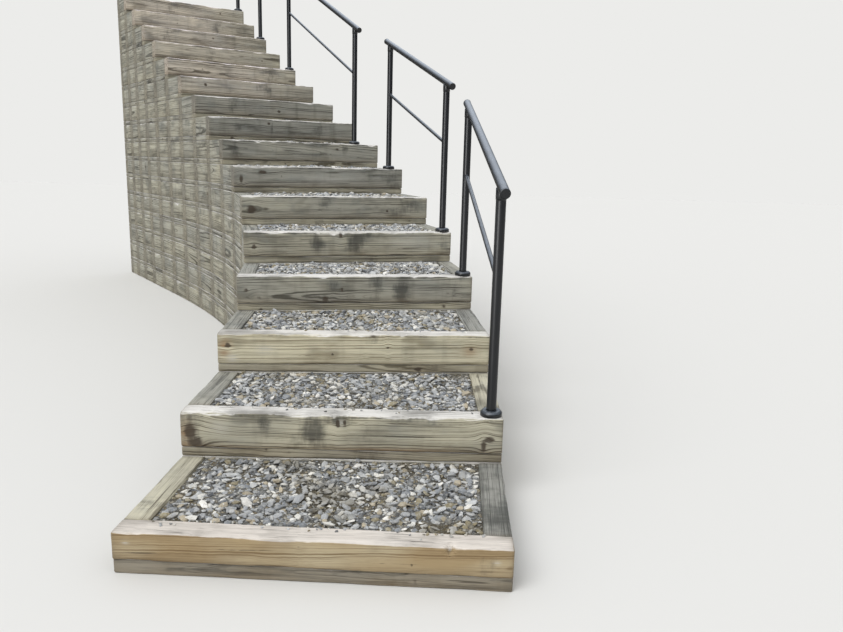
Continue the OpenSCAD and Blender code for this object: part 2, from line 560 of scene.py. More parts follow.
@dataclass(frozen=True)
class WoodFinish:
    """Weathered sawn softwood, solid through: rings, fibres, checks, stains and a bleached top.

    The piece carries "grain", the place in the log counted from its pith, with the first part along
    the timber, and the layers "weather" and "marks", whose values go from 0 to 1.
    """

    name: str = "weathered_timber"
    rings_per_metre: float = 150.0
    bleach: float = 0.92
    relief: float = 0.0013
    blotch: float = 0.58
    foot: float = 0.82
    light: Stops = (
        (0.0, srgb(164, 144, 109)), (0.3, srgb(224, 218, 192)), (0.5, srgb(184, 180, 161)),
        (0.75, srgb(157, 156, 146)), (1.0, srgb(144, 144, 137)),
    )
    dark: Stops = (
        (0.0, srgb(124, 102, 72)), (0.3, srgb(130, 121, 96)), (0.5, srgb(88, 84, 71)),
        (0.75, srgb(78, 77, 70)), (1.0, srgb(72, 72, 67)),
    )
    silver: Stops = (
        (0.36, srgb(241, 239, 235)), (0.52, srgb(222, 220, 216)), (0.64, srgb(184, 182, 178)),
        (0.82, srgb(136, 133, 128)),
    )
    old_tint: Colour = srgb(255, 255, 255)
    new_tint: Colour = srgb(249, 244, 240)
    wet_light: Colour = srgb(136, 119, 92)
    wet_dark: Colour = srgb(82, 70, 53)
    # Gain of the painted sunlight: the colour is multiplied by it where the timber carries sun.
    painted_sunlight_gain: Triple = (1.80, 1.67, 1.82)
    cloud: Coat = Coat(srgb(150, 154, 148), 0.50, 0.66, 0.45)
    wash: Coat = Coat(srgb(78, 76, 68), 0.52, 0.72, 0.495)
    # The stain coat also paints the lip's shade under worn top edges.
    stain: Coat = Coat(srgb(62, 62, 58), 1.75, 2.60)
    warm: Coat = Coat(srgb(150, 118, 84), 0.3, 0.6)
    pale: Coat = Coat(srgb(206, 204, 196), 0.35, 0.55)
    knot: Coat = Coat(srgb(66, 56, 46), 1.175, 1.575, 0.88)
    end_grain: Colour = srgb(104, 96, 82)
    end_share: float = 0.7
    check: Coat = Coat(srgb(60, 53, 44), 0.67, 0.71, 0.7)

    def rings(self, s: Sketch, grain: Socket) -> Socket:
        """Growth rings of uneven width: noise along the distance from a wandering pith.

        Args:
            s: The material being built.
            grain: Place in the log, counted from its pith.

        Returns:
            A value that rises in the dark late wood of each ring.
        """
        far = s.warp(grain, (1.3, 3.0, 3.0), 0.034)
        bent = s.warp(grain, (15.0, 26.0, 26.0), 0.0030)
        place = s.vector("ADD", s.vector("ADD", grain, far), bent)
        across = s.vector("MULTIPLY", place, (0.0, 1.0, 1.0))
        radius = s.node("VectorMath", {0: across}, operation="LENGTH").outputs["Value"]
        inputs = {"W": radius, "Scale": self.rings_per_metre, "Detail": 2.0, "Roughness": 0.6}
        return s.node("TexNoise", inputs, noise_dimensions="1D").outputs["Fac"]

    def fields(self, s: Sketch) -> Fields:
        """Reads what the piece carries and adds the noises that the colours are laid by.

        Args:
            s: The material being built.

        Returns:
            The values by name: the carried ones, the noises, late wood, checks and the wood's tone.
        """
        grain = s.attribute("grain")["Vector"]
        f = {name: s.noise(grain, *numbers) for name, numbers in WOOD_NOISES.items()}
        for layer, names in WOOD_LAYERS.items():
            carried = s.attribute(layer)
            parts = s.node("SeparateColor", {0: carried["Color"]}).outputs
            f.update(zip(names, [*parts, carried["Alpha"]]))
        f["late"] = s.window(self.rings(s, grain), 0.50, 0.66)
        f["checks"] = s.window(f["splits"], self.check.low, self.check.high)
        f["tone"] = s.weighed((f["late"], 0.30), (f["streaks"], 0.78), (f["fibres"], 0.55))
        return f

    def face(self, s: Sketch, f: Fields) -> Socket:
        """Colour of a face by its age: light and dark wood, dark blotches and greyer clouds.

        Args:
            s: The material being built.
            f: Its values by name.

        Returns:
            The colour.
        """
        light, dark = s.ramp(f["age"], self.light), s.ramp(f["age"], self.dark)
        colour = s.mix(s.window(f["tone"], 0.52, 1.06), light, dark)
        colour = s.mix(s.times(s.window(f["patches"], 0.50, 0.70), self.blotch), colour, dark)
        return s.coat(colour, f["clouds"], self.cloud, s.times(f["age"], 0.9))

    def top(self, s: Sketch, f: Fields) -> Socket:
        """How much of a top face has bleached: all of it but for a ragged edge.

        Args:
            s: The material being built.
            f: Its values by name.

        Returns:
            A value from 0 to 1.
        """
        up = s.upward()
        ragged = s.weighed((up, 1.0), (f["clouds"], 1.1))
        share = s.times(s.window(ragged, 0.95, 1.35), s.window(up, 0.1, 0.5))
        return s.times(share, self.bleach)

    def bleached(self, s: Sketch, f: Fields) -> Socket:
        """Colour of a bleached top: pale silver with the fibres still showing, warmer on new wood.

        Args:
            s: The material being built.
            f: Its values by name.

        Returns:
            The colour.
        """
        patches = s.window(f["patches"], 0.45, 0.75)
        worn = s.weighed((f["fibres"], 0.55), (f["streaks"], 0.45), (patches, 0.22))
        tint = s.mix(s.window(f["age"], 0.35, 0.0), self.old_tint, self.new_tint)
        return s.mix(1.0, s.ramp(worn, self.silver), tint, "MULTIPLY")

    def stained(self, s: Sketch, f: Fields, colour: Socket, top: Socket) -> Socket:
        """Lays the shades that water leaves over a colour, the painted shade under worn top edges that
        rides among the runs, and its warm and pale marks.

        Args:
            s: The material being built.
            f: Its values by name.
            colour: What lies below.
            top: How much of it is a bleached top, where stains are weaker.

        Returns:
            The new colour.
        """
        old = s.math("MULTIPLY", f["age"], 1.2, clamp=True)
        colour = s.coat(colour, f["drips"], self.wash, old, s.math("SUBTRACT", 0.85, s.times(top, 0.75)))
        torn = s.weighed((f["run"], 1.0), (f["clouds"], 1.6), (f["trickles"], 0.9), (f["fibres"], 0.6))
        near = s.times(s.window(f["run"], 0.04, 0.25), s.math("SUBTRACT", 0.80, s.times(top, 0.7)))
        # The runs hold the lip, so this coat also paints shade under the worn top edge.
        colour = s.coat(colour, torn, self.stain, near)
        colour = s.coat(colour, f["streaks"], self.warm, f["warm"])
        return s.coat(colour, f["fibres"], self.pale, f["pale"])

    def damped(self, s: Sketch, f: Fields, colour: Socket) -> Socket:
        """Lays the browner wood of a damp foot over a colour.

        Args:
            s: The material being built.
            f: Its values by name.
            colour: What lies below.

        Returns:
            The new colour.
        """
        wet = s.math("MULTIPLY", f["damp"], s.math("ADD", f["patches"], 0.35), clamp=True)
        soaked = s.mix(s.window(f["tone"], 0.5, 1.0), self.wet_light, self.wet_dark)
        return s.mix(s.times(wet, self.foot), colour, soaked)

    def knotted(self, s: Sketch, f: Fields, colour: Socket) -> Socket:
        """Lays knots over a colour, broken up at the rim by clouds and rings, and dark end grain.

        Args:
            s: The material being built.
            f: Its values by name.
            colour: What lies below.

        Returns:
            The new colour.
        """
        rim = s.weighed((f["knot"], 1.0), (f["clouds"], 1.5), (f["late"], 0.25))
        colour = s.coat(colour, rim, self.knot, s.window(f["knot"], 0.06, 0.22))
        return s.mix(s.times(f["end"], self.end_share), colour, self.end_grain)

    def material(self) -> bpy.types.Material:
        """Builds the material, the painted sunlight and the checks last."""
        s = Sketch(bpy.data.materials.new(self.name))
        f = self.fields(s)
        top = self.top(s, f)
        colour = s.mix(top, self.face(s, f), self.bleached(s, f))
        colour = self.stained(s, f, colour, top)
        colour = self.knotted(s, f, self.damped(s, f, colour))
        # Painted sunlight: the colour is multiplied up where the timber carries sun.
        colour = s.mix(f["sun"], colour, s.vector("MULTIPLY", colour, self.painted_sunlight_gain))
        colour = s.mix(s.times(f["checks"], self.check.most), colour, self.check.colour)
        height = s.weighed((f["fibres"], 0.55), (f["late"], 0.2), (f["streaks"], 0.4), (f["checks"], -0.9))
        rough = s.math("ADD", s.times(f["fibres"], 0.18), 0.78)
        return s.finish(colour, rough, 0.25, height, self.relief)


@dataclass(frozen=True)
class StoneFinish:
    """Crushed stone whose colour the piece carries, with flecks, a dusty skin and patches of soil."""

    name: str = "crushed_stone"
    dust: Coat = Coat(srgb(196, 194, 186), 0.4, 0.7, 0.45)
    fleck: Coat = Coat(srgb(62, 64, 68), 0.56, 0.7, 0.5)
    soil: Coat = Coat(srgb(128, 116, 84), 0.50, 0.68, 0.45)

    def material(self) -> bpy.types.Material:
        """Builds the material from "tint", one colour for each stone."""
        s = Sketch(bpy.data.materials.new(self.name))
        place = s.place()
        flecks = s.noise(place, (420.0, 420.0, 420.0), 2.0)
        clouds = s.noise(place, (90.0, 90.0, 90.0))
        colour = s.coat(s.attribute("tint")["Color"], clouds, self.dust)
        colour = s.coat(colour, flecks, self.fleck)
        colour = s.coat(colour, s.noise(place, (5.0, 5.0, 5.0), 4.0, 0.65), self.soil)
        return s.finish(colour, 0.86, 0.3, s.math("ADD", clouds, flecks), 0.0012)


@dataclass(frozen=True)
class GravelBedFinish:
    """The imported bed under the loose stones: chips with grit and dust in the gaps."""

    name: str = "packed_gravel"
    chip: float = 0.011
    chips: Stops = (
        (0.0, srgb(96, 96, 94)), (0.35, srgb(128, 130, 130)), (0.62, srgb(154, 155, 152)),
        (0.8, srgb(136, 124, 100)), (0.93, srgb(198, 196, 188)),
    )
    dirt: Coat = Coat(srgb(92, 82, 58), 0.42, 0.66, 0.75)
    gap: Coat = Coat(srgb(66, 60, 48), 0.06, 0.0)

    def material(self) -> bpy.types.Material:
        """Builds the material from cells of the size of a chip."""
        s = Sketch(bpy.data.materials.new(self.name))
        place = s.place()
        inputs = {"Vector": place, "Scale": 1.0 / self.chip, "Randomness": 1.0}
        cells = s.node("TexVoronoi", inputs).outputs["Color"]
        gaps = s.node("TexVoronoi", inputs, feature="DISTANCE_TO_EDGE").outputs["Distance"]
        colour = s.ramp(s.node("SeparateColor", {0: cells}).outputs[0], self.chips)
        colour = s.coat(colour, s.noise(place, (6.0, 6.0, 6.0), 4.0), self.dirt)
        colour = s.coat(colour, gaps, self.gap)
        return s.finish(colour, 0.92, 0.2, s.window(gaps, 0.0, 0.25), 0.004)


@dataclass(frozen=True)
class TubeFinish:
    """Satin black paint on steel tube, dusty and grey-blue where it looks up, which also paints a
    reflection of the sky, with smears of uneven gloss.
    """

    name: str = "black_tube_paint"
    paint: Colour = srgb(21, 23, 26)
    # Dust, and a painted reflection of the sky, on faces that look up.
    dust: Coat = Coat(srgb(122, 130, 140), 0.1, 1.0, 0.34)
    rough: Pair = (0.27, 0.16)

    def material(self) -> bpy.types.Material:
        """Builds the material."""
        s = Sketch(bpy.data.materials.new(self.name))
        place = s.place()
        skin = s.noise(place, (260.0, 260.0, 260.0), 2.0, 0.5)
        smears = s.noise(place, (14.0, 14.0, 5.0), 4.0)
        # Upward faces turn lighter grey-blue: dust together with a painted sky reflection.
        colour = s.coat(self.paint, s.upward(), self.dust, s.window(smears, 0.3, 0.75))
        least, more = self.rough
        return s.finish(colour, s.math("ADD", s.times(smears, more), least), 0.42, skin, 0.00012)


# Timbers


# Most cells along a timber that is hidden or seen from afar, whose section is plainer
PLAIN_RINGS = 20


class Lay(Enum):
    """Which way a timber runs in its frame."""

    ACROSS = "across"
    UP_FLIGHT = "up_flight"


class Mark(Enum):
    """What a spot on a timber's face is; the number is its place among the marks it carries."""

    KNOT = 0
    RUN = 1
    PALE = 2
    WARM = 3


KNOT, RUN, PALE, WARM = Mark


@dataclass(frozen=True)
class Spot:
    """A knot, stain, scar or patch of painted shade on a timber's face: its middle along and up the
    timber, and its reach.
    """

    mark: Mark
    along: float
    height: float
    wide: float
    tall: float
    strength: float = 1.0


@dataclass(frozen=True)
class Notch:
    """A bite out of the top front edge: its place along the timber, width and depth."""

    along: float
    wide: float
    deep: float


@dataclass(frozen=True)
class Look:
    """Age of a timber from 0, new and golden, to 1, grey and dark, its damp foot, painted sunlight, and
    soak height.
    """

    age: float
    damp: float = 0.5
    sun: float = 0.0
    soak: float = 0.020


@dataclass
class Timber:
    """One sawn timber or plank in the frame of a step, with eased and worn edges.

    Waves are counted per metre. The lip is a broken line of painted shade under a worn top edge: its
    depth below the edge, its reach and how far back it goes.
    """

    step: int
    lay: Lay
    start: Triple
    width: float
    height: float
    look: Look
    seed: int
    length: float = 0.0
    rings: int = 40
    side_cells: tuple[int, int, int, int] = (2, 2, 2, 2)
    radius: float = 0.005
    wear: float = 0.0025
    front_wear: float = 0.0
    spots: tuple[Spot, ...] = ()
    notches: tuple[Notch, ...] = ()
    end_ease: float = 0.004
    end_draw: float = 0.003
    side_relief: float = 0.0007
    edge_reach: float = 0.011
    slow_waves: Triple = (3.0, 1.0, 1.0)
    quick_waves: Triple = (16.0, 9.0, 9.0)
    age_waves: Triple = (1.5, 1.0, 3.0)
    # The lip fields lay a line of painted shade under a worn top edge.
    lip_shade_waves: Triple = (2.5, 0.0, 0.0)
    lip_shade_wear: float = 0.003
    lip: Triple = (0.009, 0.0045, 0.012)
    trunk_shift: float = 3.17
    trunk_lean: float = 0.014

    @property
    def span(self) -> float:
        """Length of the timber, at the middle of its width where it runs up the flight."""
        middle = np.array(self.start[0] + self.width / 2)
        return self.length or float(PLAN.reach(self.step, middle) - self.start[1])

    def outline(self) -> tuple[Array, Array, Array]:
        """Section with eased corners, as points, outward directions and closeness to a corner.

        Returns:
            Points in width and height, unit directions, and 1 at the middle of a corner falling to
            0 on the sides. Each corner is a quarter circle and each side a row of even steps; the
            sides come in the order top, front, bottom, back; the front has finer rows near its top.
        """
        r = min(self.radius, 0.3 * min(self.width, self.height))
        right, top = self.width - r, self.height - r
        middles = np.array([(right, top), (r, top), (r, r), (right, r)])
        turns = 4 if self.rings > PLAIN_RINGS else 2
        points, ways, corner = [], [], []
        for k, middle in enumerate(middles):
            angle = np.linspace(0, math.pi / 2, turns + 1) + k * math.pi / 2
            way = np.stack([np.cos(angle), np.sin(angle)], 1)
            steps = np.linspace(0, 1, self.side_cells[k] + 1)[1:-1, None] ** (1.35 if k == 1 else 1.0)
            first, last = middle + r * way[-1], middles[(k + 1) % 4] + r * way[-1]
            points += [middle + r * way, first + (last - first) * steps]
            ways += [way, np.repeat(way[-1:], len(steps), 0)]
            corner += [np.sin(np.linspace(0, math.pi, turns + 1)) * 0.6 + 0.4, np.zeros(len(steps))]
        return np.concatenate(points), np.concatenate(ways), np.concatenate(corner)

    def shell(self) -> Shell:
        """Carries the section along the timber.

        Returns:
            A closed shell. The section is repeated from one end to the other, drawn in a little at
            the ends, moved against its outward directions by wear and a fine relief, and each end is
            closed by a fan around its middle.
        """
        rng = np.random.default_rng(self.seed)
        section, ways, corner = self.outline()
        around = len(section)
        inner = np.linspace(self.end_ease, self.span - self.end_ease, self.rings - 1)
        stations = np.concatenate([[0.0], inner, [self.span]])
        draw = np.zeros(len(stations))
        draw[[0, -1]] = self.end_draw
        local = np.column_stack([np.repeat(stations, around), np.tile(section, (len(stations), 1))])
        worn = 0.5 + 0.5 * ripple(local, self.slow_waves, rng)
        fine = ripple(local, self.quick_waves, rng)
        edge = np.tile(corner, len(stations))
        inward = self.wear * edge * (np.clip(worn, 0, 1.4) ** 2 + 0.25 * np.clip(fine, 0, 2))
        inward += self.side_relief * (1 - edge) * (0.5 + 0.5 * np.clip(fine, -1, 1))
        inward += np.repeat(draw, around)
        local[:, 1:] -= np.tile(ways, (len(stations), 1)) * inward[:, None]
        self.wear_front(local, worn, fine)
        centre = [self.width / 2, self.height / 2]
        local = np.concatenate([local, [[0.0, *centre], [self.span, *centre]]])
        values = {"grain": self.grain(local, rng), "weather": self.weather(local, rng)}
        values["marks"] = self.marks(local)
        points = self.placed(local)
        return closed_tube(points[:-2], points[-2:], around, values)

    def wear_front(self, local: Array, worn: Array, fine: Array) -> None:
        """Wears the top front edge back in long waves, with its notches.

        Args:
            local: Points of the timber, moved in place.
            worn: Slow relief at each point.
            fine: Quick relief at each point.

        The points near the edge move back and down by a depth that follows the relief, fading with
        the square of their distance from the edge over about a centimetre.
        """
        away = np.hypot(local[:, 1], self.height - local[:, 2])
        depth = self.front_wear * (0.15 + np.clip(worn, 0, 1.5) ** 2 + 0.3 * np.clip(fine, -0.5, 1.5))
        move = 0.7 * depth * np.exp(-((away / self.edge_reach) ** 2))
        for notch in self.notches:
            near = np.exp(-(((local[:, 0] - self.span / 2 - notch.along) / notch.wide) ** 2))
            move += notch.deep * near * np.exp(-((away / (notch.deep * 2.0)) ** 2))
        local[:, 1] += move
        local[:, 2] -= move

    def placed(self, local: Array) -> Array:
        """Moves points from along, across and up in the timber into the frame of the flight.

        Args:
            local: Points of the timber.

        Returns:
            The points in the flight. A timber that runs up the flight is stretched so that its far
            end lies on the next cross wall's face.
        """
        x0, y0, z0 = self.start
        along, across, up = local.T
        if self.lay is Lay.ACROSS:
            points = np.stack([x0 + along, y0 + across, z0 + up], 1)
        else:
            x = x0 + across
            y = y0 + along / self.span * (PLAN.reach(self.step, x) - y0)
            points = np.stack([x, y, z0 + up], 1)
        return PLAN.to_flight(self.step, points)

    def from_spot(self, local: Array, spot: Spot, spread: float = 1.0) -> tuple[Array, Array]:
        """How far points lie from a spot along and up the timber, counted in its reaches.

        Args:
            local: Points of the timber.
            spot: The spot.
            spread: Factor for its reach along the timber.

        Returns:
            The two distances of each point.
        """
        along = (local[:, 0] - self.span / 2 - spot.along) / (spread * spot.wide)
        return along, (local[:, 2] - spot.height) / spot.tall

    def grain(self, local: Array, rng: np.random.Generator) -> Array:
        """Place in the log, counted from its pith, with its own stretch of trunk for every timber.

        Args:
            local: Points of the timber.
            rng: Source of the pith's place and lean.

        Returns:
            The places. Near a knot the height is drawn towards it, so that the rings bend around it.
        """
        pith = np.array([
            rng.uniform(-0.07, 0.015) + (self.width if rng.random() < 0.5 else 0.0),
            rng.uniform(-0.05, self.height + 0.05),
        ])
        out = local.copy()
        for spot in self.spots:
            if spot.mark is KNOT:
                dx, dz = self.from_spot(local, spot, 2.4)
                out[:, 2] -= 0.8 * spot.tall * np.tanh(dz) * np.exp(-(dx**2)) * np.exp(-np.abs(dz) / 3)
        out[:, 0] += self.seed * self.trunk_shift
        out[:, 1:] -= pith
        out[:, 1:] += (local[:, :1] - local[:, 0].mean()) * rng.normal(0, self.trunk_lean, 2)
        return out

    def marks(self, local: Array) -> Array:
        """Knot, run, pale and warm at each point: a bell around each spot, the stronger one wins.

        Args:
            local: Points of the timber.

        Returns:
            Four values from 0 to 1 for each point, the lip's painted shade among the runs.
        """
        out = np.zeros((len(local), 4))
        for spot in self.spots:
            dx, dz = self.from_spot(local, spot)
            bell = spot.strength * np.exp(-0.7 * (dx**2 + dz**2))
            out[:, spot.mark.value] = np.maximum(out[:, spot.mark.value], bell)
        # The lip: a broken line of painted shade under the worn top edge, laid among the runs.
        if self.front_wear > self.lip_shade_wear:
            below, reach, back = self.lip
            lip = np.exp(-(((self.height - local[:, 2] - below) / reach) ** 2)) * (local[:, 1] < back)
            rng = np.random.default_rng(Seeds.LIP_SHADES + self.seed)
            lip *= np.clip(0.55 + 0.5 * ripple(local, self.lip_shade_waves, rng), 0, 1)
            out[:, RUN.value] = np.maximum(out[:, RUN.value], lip)
        return np.clip(out, 0, 1)

    def weather(self, local: Array, rng: np.random.Generator) -> Array:
        """End, damp, age and painted sunlight at each point.

        Args:
            local: Points of the timber.
            rng: Source of small differences.

        Returns:
            Four values from 0 to 1 for each point. The painted sunlight falls to a quarter towards the far
            end.
        """
        end = 0.6 * np.exp(-np.minimum(local[:, 0], self.span - local[:, 0]) / 0.010)
        damp = self.look.damp * np.exp(-local[:, 2] / self.look.soak)
        age = np.clip(self.look.age + 0.05 * ripple(local, self.age_waves, rng), 0, 1)
        # Painted sunlight, falling towards the timber's far end.
        sun = self.look.sun * (1 - 0.75 * np.clip((local[:, 0] / self.span - 0.55) / 0.45, 0, 1))
        return np.clip(np.stack([end, damp, age, sun], 1), 0, 1)


def loose_knots(seed: int, height: float) -> tuple[Spot, ...]:
    """Draws marks for a timber that has none of its own.

    Args:
        seed: Seed of the timber.
        height: Its height.

    Returns:
        Two knots and a stain at random places.
    """
    rng = np.random.default_rng(Seeds.KNOTS + seed)
    knots = [
        Spot(
            KNOT, rng.uniform(-0.5, 0.5), rng.uniform(0.1, 0.9) * height, rng.uniform(0.008, 0.016),
            rng.uniform(0.007, 0.013), rng.uniform(0.6, 1.0),
        )
        for _ in range(2)
    ]
    return (*knots, Spot(RUN, rng.uniform(-0.5, 0.5), height / 2, rng.uniform(0.03, 0.08), 0.09, 0.5))


# Risers


# Marks on each riser's face: rows of a spot's lengths in millimetres, and its strength where not 1
RISER_MARKS: dict[int, dict[Mark, list[tuple[float, ...]]]] = {
    1: {
        KNOT: [(305, 30, 7, 7), (-35, 72, 5, 6, 0.6)],
        RUN: [(535, 40, 30, 40, 0.5), (417, 80, 9, 16)],
        PALE: [(-566, 60, 9, 5, 0.6), (560, 50, 9, 5, 0.6)],
    },
    2: {
        KNOT: [
            (-572, 61, 28, 36), (-548, 20, 40, 32, 0.9), (-16, 108, 7, 16), (10, 112, 6, 14, 0.9),
            (560, 58, 24, 12), (538, 32, 12, 26, 0.9),
        ],
        # The runs at 125 and 128 millimetres, under the top edge, paint shade below the worn edge.
        RUN: [
            (-570, 70, 50, 80, 0.7), (-294, 102, 30, 44), (-107, 70, 50, 100), (-170, 20, 60, 30, 0.7),
            (-20, 125, 60, 20, 0.8), (250, 128, 160, 14, 0.5), (-520, 125, 60, 16, 0.4),
            (100, 90, 30, 70, 0.4),
        ],
        PALE: [(-3, 108, 8, 12, 0.6), (-461, 83, 30, 22, 0.45)],
        WARM: [(-592, 40, 26, 50, 0.9), (-300, 6, 220, 6, 0.8), (150, 6, 250, 6, 0.8)],
    },
    3: {
        KNOT: [
            (-564, 87, 14, 15), (80, 132, 22, 8, 0.8), (147, 75, 6, 14, 0.8), (527, 74, 14, 10),
            (-101, 45, 6, 6, 0.8), (47, 42, 6, 6, 0.8), (229, 48, 7, 7, 0.8),
        ],
        RUN: [(-330, 100, 50, 60, 0.35), (80, 120, 60, 30, 0.5)],
        PALE: [(-548, 26, 20, 13), (-400, 66, 34, 16, 0.5)],
        WARM: [(-580, 70, 22, 30), (520, 60, 30, 20, 0.6)],
    },
    4: {
        KNOT: [
            (-562, 69, 14, 10), (-500, 30, 20, 14, 0.8), (-165, 18, 18, 10), (-79, 70, 9, 10),
            (480, 50, 10, 12, 0.8),
        ],
        RUN: [
            (95, 80, 34, 110, 0.75), (235, 70, 42, 120), (-130, 90, 30, 60, 0.5), (520, 80, 50, 80, 0.5),
        ],
    },
    5: {
        KNOT: [(-553, 55, 14, 20), (-60, 120, 10, 16, 0.8)],
        RUN: [(-200, 90, 40, 70, 0.9), (30, 75, 46, 110), (50, 126, 100, 14), (560, 60, 30, 100, 0.5)],
        PALE: [(-140, 134, 80, 8), (350, 80, 120, 30, 0.4)],
    },
    6: {
        KNOT: [(-548, 50, 22, 30, 0.8), (330, 50, 12, 10)],
        # The wide run at 450 millimetres is painted shade over the right end.
        RUN: [(-90, 110, 50, 50, 0.6), (450, 70, 120, 100, 0.6)],
    },
    7: {
        KNOT: [(-560, 50, 14, 30, 0.9), (-415, 100, 24, 10, 0.9), (-287, 75, 10, 12, 0.8)],
        RUN: [(520, 70, 60, 100, 0.6)],
        PALE: [(50, 60, 200, 20, 0.35)],
    },
    8: {KNOT: [(266, 95, 18, 14)], RUN: [(330, 90, 30, 40, 0.8), (-520, 70, 40, 80, 0.7)]},
    9: {
        KNOT: [(-139, 105, 16, 13)],
        RUN: [(-390, 70, 40, 30, 0.8), (280, 60, 50, 90, 0.7), (-115, 60, 10, 60, 0.8)],
    },
    10: {KNOT: [(100, 50, 12, 10)], RUN: [(-300, 80, 50, 80, 0.6)]},
    11: {KNOT: [(-400, 80, 12, 12)], RUN: [(150, 80, 70, 80, 0.6)]},
    12: {KNOT: [(-300, 70, 12, 10)], RUN: [(350, 70, 60, 80, 0.6)]},
    13: {KNOT: [(420, 60, 12, 10)], RUN: [(-100, 80, 60, 80, 0.6)]},
    14: {KNOT: [(50, 90, 12, 10)], RUN: [(-400, 70, 60, 80, 0.6)]},
    15: {KNOT: [(-200, 60, 12, 10)], RUN: [(200, 70, 60, 80, 0.6)]},
    16: {KNOT: [(350, 80, 12, 10)], RUN: [(-150, 70, 60, 80, 0.6)]},
}

# Bites out of the risers' top front edges: rows of a notch's lengths in millimetres
RISER_NOTCHES: dict[int, list[tuple[float, ...]]] = {
    1: [(417, 12, 12)],
    2: [(-30, 10, 6), (-420, 20, 4)],
    3: [(210, 14, 6), (-300, 24, 4)],
    4: [(300, 16, 6), (-170, 20, 4)],
    5: [(-190, 12, 7), (-100, 20, 9), (-50, 12, 6)],
    8: [(-350, 14, 6)],
}


def metres(row: Sequence[float]) -> list[float]:
    """A row with its lengths, up to the first four numbers, turned from millimetres into metres."""
    return [length / 1000 for length in row[:4]] + list(row[4:])


@dataclass
class Risers:
    """The timbers on edge at the front of every frame; ages and painted sunlight go from the lowest to the
    highest.
    """

    rings: int = 112
    near_rings: int = 196
    near_steps: int = 3
    cells: tuple[int, int, int, int] = (8, 16, 2, 2)
    damp: float = 0.75
    new_wear: float = 0.0025
    old_wear: float = 0.0055
    ages: tuple[float, ...] = (
        0.02, 0.46, 0.30, 0.66, 0.57, 0.66, 0.80, 0.74, 0.84, 0.74, 0.60, 0.55, 0.52, 0.55, 0.55, 0.55,
    )
    # Painted sunlight of each riser, strongest on the highest ones.
    painted_sunlight: tuple[float, ...] = (0, 0, 0, 0, 0, 0, 0, 0, 0, 0.05, 0.40, 0.58, 0.35, 0.50, 0.55, 0.55)

    def timber(self, step: int) -> Timber:
        """The riser of one step with its marks and notches; the lowest is new and little worn.

        Args:
            step: Number of the step.

        Returns:
            The timber.
        """
        height = PLAN.riser_height(step)
        spots = [Spot(mark, *metres(row)) for mark, rows in RISER_MARKS[step].items() for row in rows]
        return Timber(
            step, Lay.ACROSS, (-PLAN.half, 0.0, PLAN.top_of(step) - height), PLAN.timber_depth, height,
            Look(self.ages[step - 1], self.damp, self.painted_sunlight[step - 1]), Seeds.RISERS + step,
            length=PLAN.width, rings=self.near_rings if step <= self.near_steps else self.rings,
            side_cells=self.cells, front_wear=self.new_wear if step == 1 else self.old_wear,
            spots=tuple(spots), notches=tuple(Notch(*metres(row)) for row in RISER_NOTCHES.get(step, ())),
        )

    def build(self, finish: bpy.types.Material) -> list[bpy.types.Object]:
        """Makes one piece for every riser.

        Args:
            finish: The wood.

        Returns:
            The pieces.
        """
        made = []
        for step in range(1, PLAN.steps + 1):
            node = f"riser_timber_{step:02d}"
            shell = self.timber(step).shell()
            made.append(make_piece(f"weathered_riser_{step:02d}", shell, finish, [node]))
        return made


# Sides and walls


@dataclass
class Wall:
    """What the stacked timbers of the sides and of the cross walls share.

    A hidden timber's age lies within the spread of the usual one, and a plank is a little older.
    """

    hidden_age: float = 0.62
    age_spread: float = 0.05
    plank_older: float = 0.06

    def age(self, seed: int, beat: float) -> float:
        """Age of a hidden timber: the usual one plus the spread times the sine of seed times beat."""
        return self.hidden_age + self.age_spread * math.sin(seed * beat)


